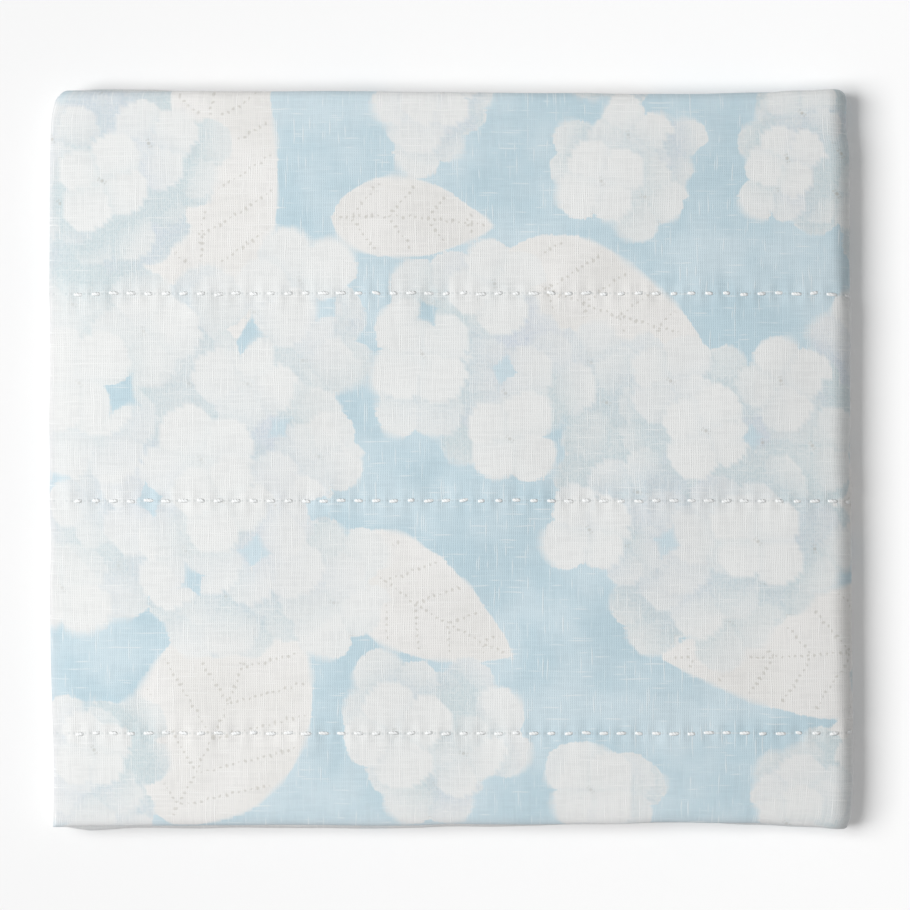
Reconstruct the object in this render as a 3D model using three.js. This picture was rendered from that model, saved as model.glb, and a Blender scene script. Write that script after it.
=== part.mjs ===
// A quilted cotton kitchen cloth, folded in four and lying flat.
// Millimetres, +Z up. X runs across the folded cloth and Y up it, and the origin is under its middle.
// The flat cloth is folded in half along its top edge, and then in half again at its right side,
// so four layers lie on each other: the outer half is the lowest and the highest of them, and the
// inner half is the two between. It is all one piece of cloth, so it is one solid.

import * as THREE from 'three';
import { ParametricGeometry } from 'three/addons/geometries/ParametricGeometry.js';
import { mergeGeometries, mergeVertices } from 'three/addons/utils/BufferGeometryUtils.js';

// Sizes of the folded cloth
const foldedWidth = 168;
const foldedDepth = 155;
const sheetThickness = 1.8;
const layerPitch = 2.2;
const crownHeight = 1.3;
const crownSquareness = 5;

// Sizes of the side fold, whose upper half is longer and softer than its lower half
const foldReachUpper = 4.6;
const foldReachLower = 4.0;
const innerFoldReach = 1.12;
const innerFoldSetback = 3.2;

// How far the inner half's open edges lie behind the outer half's
const innerLeftSetback = 1.2;
const innerBottomSetback = 1.0;

// Quilting: rows sewn across the whole cloth, as distances from the outer half's open edge
const quiltRows = [20.0, 68.7, 112.1, 160.5, 205.0, 248.0, 289.0];
const quiltDepth = 0.3;
const quiltHalfWidth = 3.2;

// Soft swells that the air between the layers leaves, in height, wavelengths and phase
const swells = [
  { height: 0.16, alongX: 71, alongY: 118, phase: 0.7 },
  { height: 0.12, alongX: -46, alongY: 83, phase: 2.4 },
  { height: 0.09, alongX: 33, alongY: -39, phase: 4.1 },
];

// Where the top fold and the bottom edge lie at each place across the cloth, on the upper and lower layers
const endLines = [
  { x: -84, topUpper: 77.2, topLower: 77.2, bottomUpper: -77.4, bottomLower: -77.7 },
  { x: -76, topUpper: 77.3, topLower: 77.9, bottomUpper: -77.5, bottomLower: -78.1 },
  { x: -65, topUpper: 77.3, topLower: 77.8, bottomUpper: -77.6, bottomLower: -77.7 },
  { x: -50, topUpper: 77.3, topLower: 77.0, bottomUpper: -77.7, bottomLower: -77.2 },
  { x: -25, topUpper: 77.2, topLower: 77.0, bottomUpper: -77.9, bottomLower: -77.2 },
  { x: 31, topUpper: 77.2, topLower: 77.0, bottomUpper: -77.0, bottomLower: -76.7 },
  { x: 47, topUpper: 77.2, topLower: 77.0, bottomUpper: -76.6, bottomLower: -76.3 },
  { x: 65, topUpper: 77.2, topLower: 77.1, bottomUpper: -76.8, bottomLower: -76.6 },
  { x: 74, topUpper: 77.4, topLower: 77.2, bottomUpper: -77.3, bottomLower: -77.1 },
  { x: 84, topUpper: 77.8, topLower: 77.6, bottomUpper: -77.9, bottomLower: -77.7 },
];

// Where the left edge and the right fold lie at each place up the cloth
const sideLines = [
  { y: -77.5, leftUpper: -83.7, leftLower: -83.9, right: 83.5 },
  { y: -74, leftUpper: -83.6, leftLower: -84.0, right: 84.2 },
  { y: -66, leftUpper: -83.4, leftLower: -83.8, right: 84.6 },
  { y: -30, leftUpper: -84.1, leftLower: -83.6, right: 84.3 },
  { y: 12, leftUpper: -84.2, leftLower: -83.6, right: 84.0 },
  { y: 63, leftUpper: -84.2, leftLower: -83.6, right: 84.0 },
  { y: 71, leftUpper: -84.0, leftLower: -83.5, right: 83.2 },
  { y: 75, leftUpper: -83.2, leftLower: -83.2, right: 83.3 },
  { y: 77.5, leftUpper: -81.6, leftLower: -82.4, right: 83.6 },
];
const edgeShiftReach = 12;
const foldShiftReach = 34;

// Spacing of the mesh, whose stations crowd a little towards the side fold
const runSteps = 11;
const runCrowding = 1.25;
const sideFoldSteps = 12;
const topFoldSteps = 8;
const rimStations = [0, 0.12, 0.36, 0.9];
const slopeStep = 1e-3;
const mergeDistance = 1e-5;

// Sizes that follow
const halfThickness = sheetThickness / 2;
const halfWidth = foldedWidth / 2;
const halfDepth = foldedDepth / 2;
const stackRise = 3 * layerPitch;
const middleHeight = halfThickness + stackRise / 2;
const foldTip = halfWidth - halfThickness;

// The two halves of the cloth as they turn round the side fold
const outerHalf = {
  rise: 1.5 * layerPitch,
  tip: foldTip,
  reachUpper: foldReachUpper,
  reachLower: foldReachLower,
  left: -halfWidth,
};
const innerHalf = {
  rise: 0.5 * layerPitch,
  tip: foldTip - innerFoldSetback,
  reachUpper: innerFoldReach,
  reachLower: innerFoldReach,
  left: -halfWidth + innerLeftSetback,
};

// Lengths on the flat cloth: round half of the side fold, along a layer, and round the top fold
const foldLength = (Math.PI / 4) * (outerHalf.rise + (foldReachUpper + foldReachLower) / 2);
const layerLength = foldedWidth - halfThickness - (foldReachUpper + foldReachLower) / 2 + foldLength;
const topFoldLength = Math.PI * (layerPitch / 2);
const outerRun = foldedDepth - halfThickness - layerPitch / 2;
const innerRun = outerRun - innerBottomSetback;
const clothLength = outerRun + topFoldLength + innerRun;

// Looks up a column of a table, easing from each row to the next
function lookUp(table, key, place, column) {
  const last = table.length - 1;
  if (place <= table[0][key]) {
    return table[0][column];
  }
  if (place >= table[last][key]) {
    return table[last][column];
  }
  const next = table.findIndex((row) => row[key] > place);
  const from = table[next - 1];
  const to = table[next];
  const share = THREE.MathUtils.smoothstep(place, from[key], to[key]);
  return THREE.MathUtils.lerp(from[column], to[column], share);
}

// The line that one half follows across the cloth, seen from its open bottom edge.
// path is the length on the flat cloth from the fold's tip, negative on the lower layer.
function sectionPoint(half, path) {
  const upper = path >= 0;
  const reach = upper ? half.reachUpper : half.reachLower;
  const start = half.tip - reach;
  const beyond = Math.abs(path) - foldLength;
  if (beyond >= 0) {
    const share = beyond / (layerLength - foldLength);
    const x = THREE.MathUtils.lerp(start, half.left, share);
    return { x, z: middleHeight + (upper ? half.rise : -half.rise) };
  }
  const turn = (path / foldLength) * (Math.PI / 2);
  return { x: start + reach * Math.cos(turn), z: middleHeight + half.rise * Math.sin(turn) };
}

// How far the stack is lifted at a place: a low crown with soft swells, none at the folds
function crown(x, y) {
  const across = 1 - Math.abs(x / halfWidth) ** crownSquareness;
  const along = 1 - Math.abs(y / halfDepth) ** crownSquareness;
  let lift = crownHeight;
  for (const swell of swells) {
    const cycles = x / swell.alongX + y / swell.alongY;
    lift += swell.height * Math.sin(2 * Math.PI * cycles + swell.phase);
  }
  return lift * Math.max(0, across) * Math.max(0, along);
}

// Moves a point of the straight-sided stack to the uneven outline of the real one
function settleOutline(point, upperShare) {
  const { x, y } = point;
  const blend = (table, key, place, upper, lower) => THREE.MathUtils.lerp(
    lookUp(table, key, place, lower),
    lookUp(table, key, place, upper),
    upperShare,
  );
  const nearLeft = 1 - THREE.MathUtils.smoothstep(x, -halfWidth, -halfWidth + edgeShiftReach);
  const nearRight = THREE.MathUtils.smoothstep(x, halfWidth - foldShiftReach, halfWidth - foldReachUpper);
  const nearTop = THREE.MathUtils.smoothstep(y, halfDepth - edgeShiftReach, halfDepth - layerPitch);
  const nearBottom = 1 - THREE.MathUtils.smoothstep(y, -halfDepth, -halfDepth + edgeShiftReach);
  const left = blend(sideLines, 'y', y, 'leftUpper', 'leftLower') + halfWidth;
  const right = lookUp(sideLines, 'y', y, 'right') - halfWidth;
  const top = blend(endLines, 'x', x, 'topUpper', 'topLower') - halfDepth;
  const bottom = blend(endLines, 'x', x, 'bottomUpper', 'bottomLower') + halfDepth;
  point.x += left * nearLeft + right * nearRight;
  point.y += top * nearTop + bottom * nearBottom;
}

// The middle of the sheet's thickness. along is the length on the flat cloth from the outer half's
// open edge: the outer half, the turn at the top fold, and then the inner half back down.
function sheetMiddle(path, along, target) {
  const outer = sectionPoint(outerHalf, path);
  const inner = sectionPoint(innerHalf, path);
  const turnRadius = Math.hypot(outer.x - inner.x, outer.z - inner.z) / 2;
  const turnCentre = halfDepth - halfThickness - turnRadius;
  const openEdge = -halfDepth;
  const turned = THREE.MathUtils.clamp((along - outerRun) / topFoldLength, 0, 1) * Math.PI;
  let y = turnCentre + turnRadius * Math.sin(turned);
  if (along < outerRun) {
    y = THREE.MathUtils.lerp(openEdge, turnCentre, along / outerRun);
  } else if (along > outerRun + topFoldLength) {
    const share = (along - outerRun - topFoldLength) / innerRun;
    y = THREE.MathUtils.lerp(turnCentre, openEdge + innerBottomSetback, share);
  }
  const outerShare = (1 + Math.cos(turned)) / 2;
  const x = THREE.MathUtils.lerp(inner.x, outer.x, outerShare);
  const z = THREE.MathUtils.lerp(inner.z, outer.z, outerShare);
  target.set(x, y, z);
  const upperShare = (z - halfThickness) / stackRise;
  settleOutline(target, THREE.MathUtils.clamp(upperShare, 0, 1));
  target.z += crown(target.x, target.y) * upperShare;
  return target;
}

// Half the sheet's thickness: rounded off at the open edges, and drawn in along the quilting
function halfThicknessAt(path, along) {
  const inset = Math.min(layerLength - Math.abs(path), along, clothLength - along);
  const rim = Math.min(1, Math.max(0, inset) / halfThickness);
  const round = Math.sqrt(1 - (1 - rim) ** 2);
  let drawnIn = 0;
  for (const row of quiltRows) {
    const away = Math.min(1, Math.abs(along - row) / quiltHalfWidth);
    drawnIn = Math.max(drawnIn, quiltDepth * (1 - away) ** 2);
  }
  return round * (halfThickness - drawnIn);
}

// Stations across the cloth, from the lower layer's left edge round the fold to the upper layer's
function pathStations() {
  const stations = [];
  for (let step = 0; step <= sideFoldSteps; step += 1) {
    stations.push(foldLength * (1 - (2 * step) / sideFoldSteps));
  }
  const run = layerLength - foldLength;
  for (const side of [-1, 1]) {
    for (const inset of rimStations) {
      stations.push(side * (layerLength - inset));
    }
    for (let step = 1; step < runSteps; step += 1) {
      stations.push(side * (foldLength + run * (step / runSteps) ** runCrowding));
    }
  }
  return stations.sort((a, b) => a - b);
}

// Stations along the cloth, with three at each quilted row
function alongStations() {
  const stations = [];
  for (const inset of rimStations) {
    stations.push(inset, clothLength - inset);
  }
  for (const row of quiltRows) {
    stations.push(row - quiltHalfWidth, row, row + quiltHalfWidth);
  }
  for (let row = 1; row < quiltRows.length; row += 1) {
    const middle = (quiltRows[row - 1] + quiltRows[row]) / 2;
    if (middle < outerRun - layerPitch || middle > outerRun + topFoldLength + layerPitch) {
      stations.push(middle);
    }
  }
  for (let step = 0; step <= topFoldSteps; step += 1) {
    stations.push(outerRun + (topFoldLength * step) / topFoldSteps);
  }
  stations.push(outerRun - quiltHalfWidth);
  return stations.sort((a, b) => a - b);
}

// The value at a share of the way through a list of stations
function stationAt(stations, share) {
  const place = share * (stations.length - 1);
  const index = Math.min(Math.floor(place), stations.length - 2);
  return THREE.MathUtils.lerp(stations[index], stations[index + 1], place - index);
}

// One face of the sheet, half a thickness to one side of its middle
function sheetFace(paths, alongs, side) {
  const ahead = new THREE.Vector3();
  const behind = new THREE.Vector3();
  const acrossSlope = new THREE.Vector3();
  const alongSlope = new THREE.Vector3();
  const place = (u, v, target) => {
    const path = stationAt(paths, side > 0 ? u : 1 - u);
    const along = stationAt(alongs, v);
    sheetMiddle(path + slopeStep, along, ahead);
    acrossSlope.subVectors(ahead, sheetMiddle(path - slopeStep, along, behind));
    sheetMiddle(path, along + slopeStep, ahead);
    alongSlope.subVectors(ahead, sheetMiddle(path, along - slopeStep, behind));
    const normal = acrossSlope.cross(alongSlope).normalize();
    sheetMiddle(path, along, target).addScaledVector(normal, side * halfThicknessAt(path, along));
  };
  const geometry = new ParametricGeometry(place, paths.length - 1, alongs.length - 1);
  geometry.deleteAttribute('normal');
  geometry.deleteAttribute('uv');
  return geometry;
}

// The whole folded sheet as one closed solid
function foldedSheet() {
  const paths = pathStations();
  const alongs = alongStations();
  const faces = [sheetFace(paths, alongs, 1), sheetFace(paths, alongs, -1)];
  const geometry = mergeVertices(mergeGeometries(faces), mergeDistance);
  geometry.computeBoundingBox();
  const { min, max } = geometry.boundingBox;
  geometry.translate(-(min.x + max.x) / 2, -(min.y + max.y) / 2, -min.z);
  geometry.computeVertexNormals();
  return geometry;
}

const cotton = new THREE.MeshStandardMaterial({ color: 0xdfe5e7, roughness: 0.92, metalness: 0 });
const cloth = new THREE.Mesh(foldedSheet(), cotton);
cloth.name = 'cloth';

const towel = new THREE.Group();
towel.add(cloth);

export default towel;
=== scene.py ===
"""A quilted cotton kitchen cloth, folded in four and lying flat, on a pale floor in soft light.

The cloth is modelled flat, as a grid in its own flat places, and then folded: once at its top edge and
once at its right side. A place on the flat cloth is its path, the distance from the tip of the side fold,
above zero on the upper layers and below it on the lower ones, and its along, the distance from the open
edge of the outer half. The print, the weave and the stitches are all laid out in these flat places.
"""

import math
from typing import NamedTuple

import bpy
import numpy as np
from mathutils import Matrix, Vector
from bpy.props import FloatProperty, FloatVectorProperty, IntProperty, PointerProperty


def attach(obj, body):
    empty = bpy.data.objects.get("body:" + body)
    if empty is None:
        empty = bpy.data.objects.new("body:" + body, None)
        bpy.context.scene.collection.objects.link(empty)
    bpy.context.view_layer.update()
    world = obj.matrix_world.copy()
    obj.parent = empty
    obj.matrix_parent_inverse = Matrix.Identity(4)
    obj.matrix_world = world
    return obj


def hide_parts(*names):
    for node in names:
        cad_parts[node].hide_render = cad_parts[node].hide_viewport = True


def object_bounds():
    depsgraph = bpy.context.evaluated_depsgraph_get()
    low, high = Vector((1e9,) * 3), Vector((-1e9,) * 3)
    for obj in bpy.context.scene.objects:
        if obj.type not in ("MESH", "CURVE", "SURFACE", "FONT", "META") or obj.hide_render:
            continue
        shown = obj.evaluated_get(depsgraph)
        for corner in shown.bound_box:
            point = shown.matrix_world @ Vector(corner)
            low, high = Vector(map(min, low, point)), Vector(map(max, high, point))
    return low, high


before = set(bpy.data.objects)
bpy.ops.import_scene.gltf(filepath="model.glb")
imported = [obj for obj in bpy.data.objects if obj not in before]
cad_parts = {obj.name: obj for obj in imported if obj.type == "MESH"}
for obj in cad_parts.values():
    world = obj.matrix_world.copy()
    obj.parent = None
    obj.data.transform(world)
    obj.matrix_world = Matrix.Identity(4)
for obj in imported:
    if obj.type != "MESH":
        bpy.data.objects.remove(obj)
cad_low, cad_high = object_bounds()

bl_info = {
    "name": "Folded kitchen cloth",
    "version": (1, 0, 0),
    "blender": (4, 5, 0),
    "location": "View3D > Sidebar > Cloth",
    "description": "Builds a quilted cotton cloth, folded in four, with its print, weave and stitches",
    "category": "Object",
}

MM = 0.001
CLOTH_NAME = "folded_cloth"
STITCH_NAME = "quilting_stitches"
FLAT_MAP = "flat"
BAKE_MAP = "OFBake"

# How wide the shaded band along the open edges is
RIM_WIDTH = 2.4 * MM

# Vertices of the two faces closer than this are one
MERGE_WITHIN = 0.0002 * MM

# How far a leaf's side veins run towards its tip for each step sideways, and how far apart they are along
# its midrib, in millimetres
VEIN_SLOPE = 0.75
VEIN_GAP = 8.0

# What a field of the print holds where nothing is painted, and how far its values go, in millimetres
UNPAINTED = 9.0
FIELD_LIMIT = 5

# One seed for each use of the soft noise and of the random draws
RIPPLE_SEED, LONG_RIPPLE_SEED = 3, 4
LEFT_SEED, SIDE_SEED, TOP_SEED, BOTTOM_SEED = 11, 12, 13, 14
PUCKER_SEED, DYE_SEED, STITCH_SEED = 21, 31, 5

# Rows sewn across the whole cloth, in millimetres from the outer half's open edge
QUILT_ROWS = [20.0, 68.7, 112.1, 160.5, 205.0, 248.0, 289.0]

# Soft swells that the air between the layers leaves, in millimetres and radians
SWELLS = [
    dict(height=0.16, along_x=71, along_y=118, phase=0.7),
    dict(height=0.12, along_x=-46, along_y=83, phase=2.4),
    dict(height=0.09, along_x=33, along_y=-39, phase=4.1),
]

# Where the top fold and the bottom edge lie at each place across the cloth, in millimetres
END_LINES = dict(
    x=[-84, -76, -65, -50, -25, 31, 47, 65, 74, 84],
    top_upper=[77.2, 77.3, 77.2, 77.1, 77.1, 76.7, 76.4, 76.7, 77.2, 77.8],
    top_lower=[77.2, 77.9, 77.8, 77.4, 77.2, 77.0, 77.1, 77.5, 77.4, 77.6],
    bottom_upper=[-77.3, -77.1, -77.0, -76.9, -76.9, -76.6, -76.3, -76.5, -77.0, -77.9],
    bottom_lower=[-77.6, -78.8, -78.1, -78.2, -78.3, -77.4, -77.1, -77.3, -77.8, -77.9],
)

# Where the left edge and the side fold lie at each place up the cloth, in millimetres
SIDE_LINES = dict(
    y=[-77.5, -74, -66, -30, 12, 63, 71, 75, 77.5],
    left_upper=[-83.7, -83.6, -83.4, -84.1, -84.2, -84.2, -84.0, -83.2, -81.6],
    left_lower=[-83.9, -84.0, -83.8, -83.6, -83.6, -83.6, -83.5, -83.2, -82.4],
    right=[83.5, 84.2, 84.6, 84.3, 84.0, 84.0, 83.2, 83.3, 83.6],
)


class Head(NamedTuple):
    """A flower head: its middle, its radius, its florets' radius, how bold and how filled it is."""

    a: float
    b: float
    radius: float
    floret: float
    bold: float
    filled: float


class Gap(NamedTuple):
    """A gap between petals: its middle, its size and its turn in degrees."""

    a: float
    b: float
    size: float
    turn: float


class Leaf(NamedTuple):
    """A leaf from its foot to its tip, and how far its midrib bends."""

    foot: tuple
    tip: tuple
    half_width: float
    bend: float


class Repeat(NamedTuple):
    """Where the group is printed once more, turned by half or not."""

    turned: bool
    shift: float


# One group of the print, on the quarter of the cloth that lies on top, in millimetres from the side fold
# and from the open edge. bold is how strongly the petals are shaded, and filled how closely they lie.
HEADS = [
    Head(161, 109, 19, 10.5, 0.35, 2.6),
    Head(118, 107, 17, 11.0, 0.35, 1.8),
    Head(132, 46, 15, 10.5, 0.45, 2.0),
    Head(115, 54, 18, 11.0, 0.45, 2.0),
    Head(161, 56, 17, 10.5, 0.35, 2.1),
    Head(136, 83, 39, 11.5, 0.42, 1.7),
    Head(11, 84, 15, 9.5, 0.6, 2.1),
    Head(52, 92, 15, 10.0, 0.6, 2.1),
    Head(31, 70, 37, 10.5, 0.75, 1.9),
    Head(155, 138, 24, 9.5, 0.9, 2.3),
    Head(11, 141, 18, 9.0, 1.0, 2.1),
    Head(49, 138, 17, 9.5, 0.6, 2.1),
    Head(88, 152, 14, 9.0, 0.6, 2.1),
    Head(80, 98, 26, 10.5, 0.6, 1.8),
    Head(159, 11, 17, 9.5, 0.7, 2.3),
    Head(54, 7, 11, 10.5, 0.5, 2.1),
    Head(9, 7, 16, 9.0, 0.7, 2.1),
    Head(90, 20, 20, 10.5, 0.7, 2.1),
]

# Small four-pointed gaps between petals, where the ground shows
GAPS = [
    Gap(128, 104, 4.6, 12),
    Gap(111, 109, 3.2, 40),
    Gap(154, 91, 4.4, 28),
    Gap(148, 69, 3.8, -15),
    Gap(126, 58, 4.0, 8),
    Gap(113, 67, 3.6, 33),
    Gap(139, 52, 3.2, -25),
    Gap(121, 84, 3.0, 50),
    Gap(40, 60, 3.4, 20),
    Gap(22, 82, 3.0, -10),
    Gap(74, 96, 3.6, 15),
    Gap(90, 108, 3.0, -30),
]

# The leaves of the same group
LEAVES = [
    Leaf((138, 96), (131, 188), 15.0, -1.5),
    Leaf((144, 1), (121, 58), 18.0, 2.0),
    Leaf((-26, 41), (41, 36), 14.0, -2.0),
    Leaf((76, 118), (33, 103), 12.5, 1.5),
    Leaf((110, 128), (76, 126), 8.5, -1.0),
    Leaf((108, 60), (72, 36), 11.0, 2.0),
    Leaf((-10, 108), (6, 80), 6.0, 0.5),
]

# The group is printed all over the cloth, and turned by half in between, in steps of this many millimetres.
# The last lies over the others.
GROUP_STEP = 155
REPEATS = [
    Repeat(turned, start + count * GROUP_STEP)
    for turned, start in ((True, 112), (False, 0))
    for count in (2, 1, 0)
]


def from_screen(red, green, blue):
    """A colour read off a screen, from 0 to 255, as the linear values that shaders use."""
    shares = [c / 255 for c in (red, green, blue)]
    return tuple(s / 12.92 if s <= 0.04045 else ((s + 0.055) / 1.055) ** 2.4 for s in shares)


def length_property(name, description, default):
    return FloatProperty(name=name, description=description, default=default, unit="LENGTH", precision=5)


def number_property(name, description, default):
    return FloatProperty(name=name, description=description, default=default)


def count_property(name, description, default):
    return IntProperty(name=name, description=description, default=default)


def colour_property(name, description, default):
    return FloatVectorProperty(
        name=name, description=description, default=default, subtype="COLOR", size=3, min=0, max=1
    )


class ClothSizes(bpy.types.PropertyGroup):
    """Sizes of the folded cloth."""

    folded_width: length_property("Folded width", "From the open left edge to the side fold", 0.168)
    folded_depth: length_property("Folded depth", "From the open bottom edge to the top fold", 0.155)
    thickness: length_property("Thickness", "Of the sheet, all its plies together", 0.0018)
    layer_pitch: length_property("Layer pitch", "From the middle of one layer to the next", 0.0022)
    crown_height: length_property("Crown", "How far air lifts the middle of the stack", 0.0013)
    crown_squareness: count_property("Crown squareness", "How flat the crown's top is", 5)
    side_reach_upper: length_property("Upper side fold", "How far back its upper half runs", 0.0035)
    side_reach_lower: length_property("Lower side fold", "How far back its lower half runs", 0.004)
    inner_reach: length_property("Inner side fold", "How far back the inner half's fold runs", 0.00112)
    inner_fold_setback: length_property("Inner fold setback", "How far the inner fold lies inside", 0.0032)
    inner_left_setback: length_property("Inner left setback", "Of the inner half's left edge", 0.0012)
    inner_bottom_setback: length_property("Inner bottom setback", "Of the inner half's bottom edge", 0.001)
    quilt_depth: length_property("Quilt depth", "How far the sewn rows draw in each face", 0.0003)
    quilt_half_width: length_property("Quilt half width", "From a sewn row to the flat cloth", 0.0032)
    pucker: length_property("Pucker", "Height of the small puckers that the stitches draw up", 0.00026)
    ripple: length_property("Ripple", "Height of the slight ripples all over", 0.00014)
    edge_wave: length_property("Edge wave", "How far the edges and folds wander", 0.00022)
    droop_left: length_property("Left droop", "How far the top layer sinks at the left edge", 0.00012)
    droop_bottom: length_property("Bottom droop", "How far it sinks at the bottom edge", 0.0008)
    grid_step: length_property("Grid step", "Spacing of the mesh where it is coarse", 0.0034)
    upper_cuts: count_property("Upper cuts", "Extra cuts of the top face's grid", 3)
    lower_cuts: count_property("Lower cuts", "Extra cuts of the underside's grid", 2)


class PrintColours(bpy.types.PropertyGroup):
    """Colours of the dyes, of the undyed cotton and of the thread."""

    ground: colour_property("Ground", "Pale blue of the ground", from_screen(187, 208, 217))
    ground_pale: colour_property("Pale ground", "Where the blue is thin", from_screen(201, 217, 224))
    petal: colour_property("Petal", "White of the petals", from_screen(228, 229, 228))
    petal_shade: colour_property("Petal shade", "Grey-green of the petals", from_screen(201, 213, 216))
    petal_lilac: colour_property("Lilac shade", "Lilac of the petals", from_screen(206, 213, 221))
    leaf: colour_property("Leaf", "Cream of the leaves", from_screen(230, 229, 227))
    leaf_shade: colour_property("Leaf shade", "Where the cream is thick", from_screen(224, 223, 220))
    vein: colour_property("Vein", "Grey-brown of the veins' dots", from_screen(178, 175, 166))
    undyed: colour_property("Undyed", "The cotton itself", from_screen(238, 239, 238))
    # The pinhole colour is painted shade in the holes that the needle left
    hole: colour_property("Pinhole", "Shade in the holes that the needle left", from_screen(168, 176, 178))


class WeaveSizes(bpy.types.PropertyGroup):
    """Sizes of the net weave and of the stitches."""

    warp_pitch: length_property("Warp pitch", "From one thread to the next, across the cloth", 0.00046)
    weft_pitch: length_property("Weft pitch", "From one thread to the next, up the cloth", 0.0005)
    slub_length: length_property("Slub length", "Length of the thicker stretches of a thread", 0.0075)
    weave_height: length_property("Weave height", "Relief of the threads", 0.000038)
    vein_pitch: length_property("Vein dot pitch", "From dot to dot along a vein", 0.0013)
    vein_dot: length_property("Vein dot radius", "Radius of a vein's dot", 0.00028)
    stitch_pitch: length_property("Stitch pitch", "From one stitch to the next", 0.00366)
    stitch_length: length_property("Stitch length", "Of the thread that shows", 0.0023)
    thread_width: length_property("Thread width", "Of the sewing thread", 0.00078)


class StageSettings(bpy.types.PropertyGroup):
    """The camera, the lights and the floor."""

    lens: number_property("Lens", "Focal length in millimetres", 150)
    frame_width: length_property("Frame width", "Width of the picture at the cloth's face", 0.1903)
    look_x: length_property("Look X", "Place under the camera, across the cloth", 0.00065)
    look_y: length_property("Look Y", "Place under the camera, up the cloth", 0.00055)
    key_power: number_property("Key power", "Of the soft light at the left, in watts", 14.5)
    key_size: length_property("Key size", "Width of the soft light", 0.71)
    key_x: length_property("Key X", "Place of the soft light, across the cloth", -0.76)
    key_z: length_property("Key Z", "Height of the soft light", 0.88)
    fill_strength: number_property("Fill", "Strength of the light from all round", 0.31)
    floor_glow: number_property("Floor glow", "How far the floor is lit up to white", 0.07)
    floor_near: number_property("Floor near the light", "How pale the floor is there", 0.72)
    floor_far: number_property("Floor away from the light", "How pale the floor is there", 0.98)
    floor_from: length_property("Floor from", "Where the floor starts to get paler", -0.13)
    floor_to: length_property("Floor to", "Where the floor is palest", 0.12)


def settings():
    return bpy.context.scene.folded_cloth


def own_names(group):
    """The names of a group's own settings."""
    return [name for name in group.bl_rna.properties.keys() if name not in {"rna_type", "name"}]


def ease(value, low, high):
    """A smooth step from 0 at low to 1 at high."""
    share = np.clip((value - low) / (high - low), 0, 1)
    return share * share * (3 - 2 * share)


def mix(a, b, share):
    return a + (b - a) * share


def look_up(table, key, place, column):
    """A column of a table in millimetres, eased from each row to the next, in metres."""
    keys = np.array(table[key]) * MM
    values = np.array(table[column]) * MM
    at = np.clip(np.searchsorted(keys, place, side="right") - 1, 0, len(keys) - 2)
    return mix(values[at], values[at + 1], ease(place, keys[at], keys[at + 1]))


def soft_noise(u, v, seed):
    """Soft random swells from -1 to 1, one to each unit of u and v."""
    size = 64
    lattice = np.random.default_rng(seed).uniform(-1, 1, (size, size))
    u0, v0 = np.floor(u).astype(int), np.floor(v).astype(int)
    share_u, share_v = ease(u - u0, 0, 1), ease(v - v0, 0, 1)
    near = mix(lattice[u0 % size, v0 % size], lattice[(u0 + 1) % size, v0 % size], share_u)
    far = mix(lattice[u0 % size, (v0 + 1) % size], lattice[(u0 + 1) % size, (v0 + 1) % size], share_u)
    return mix(near, far, share_v)


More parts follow.
